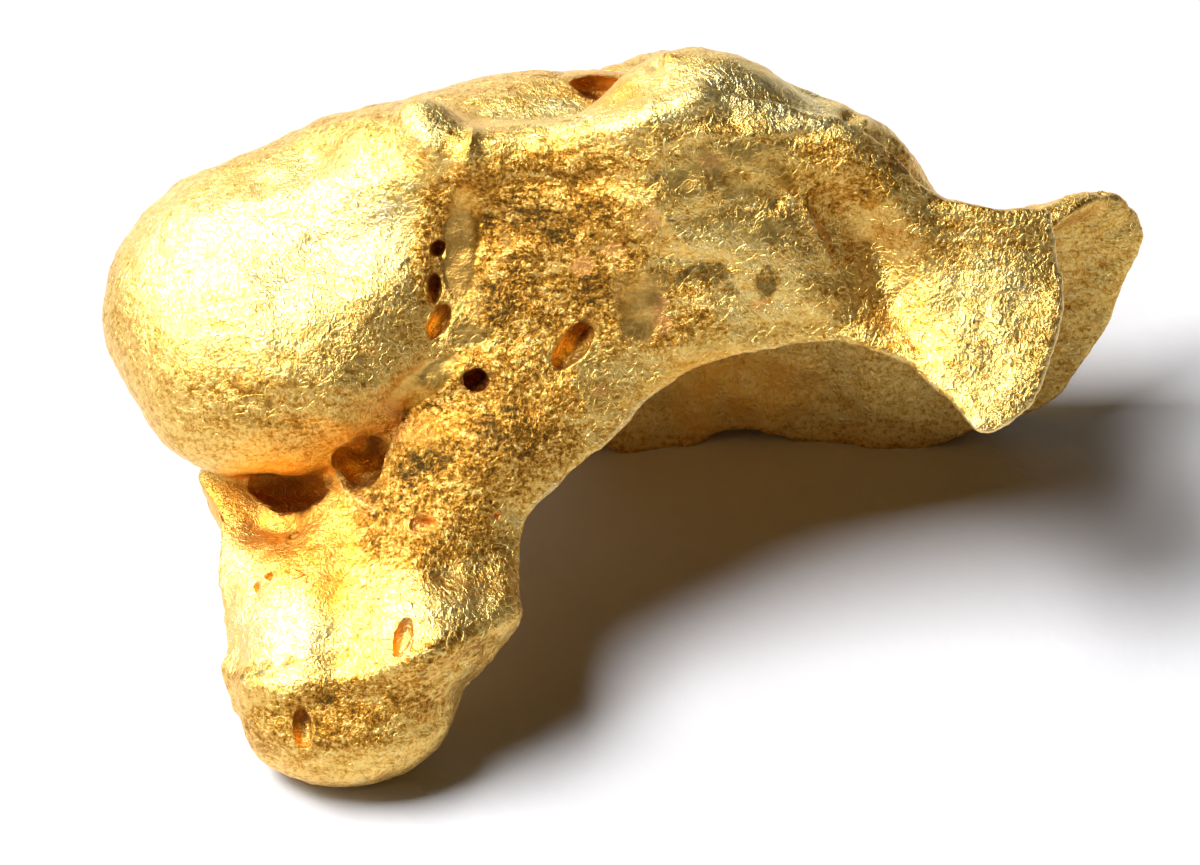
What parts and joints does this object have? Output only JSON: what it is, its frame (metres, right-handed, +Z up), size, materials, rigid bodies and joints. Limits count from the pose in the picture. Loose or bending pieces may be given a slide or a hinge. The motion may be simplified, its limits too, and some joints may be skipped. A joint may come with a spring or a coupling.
{
  "type": "gold nugget",
  "caption": "Water-worn gold nugget shaped as an arch, with a heavy bulb over a rounded foot and a thin dished wall ending in a flared flap; it rests on the foot and the rear wall.",
  "frame": {"origin": "bottom centre of the bounding box, on the floor the nugget rests on", "axes": "+X from the bulb to the thin flared flap, +Y from the foot to the rear wall, +Z up from the floor"},
  "size_m": [0.0224, 0.016, 0.0122],
  "materials": {
    "native_gold": null
  },
  "bodies": {
    "root": {"gold_nugget": "native_gold"}
  },
  "joints": []
}
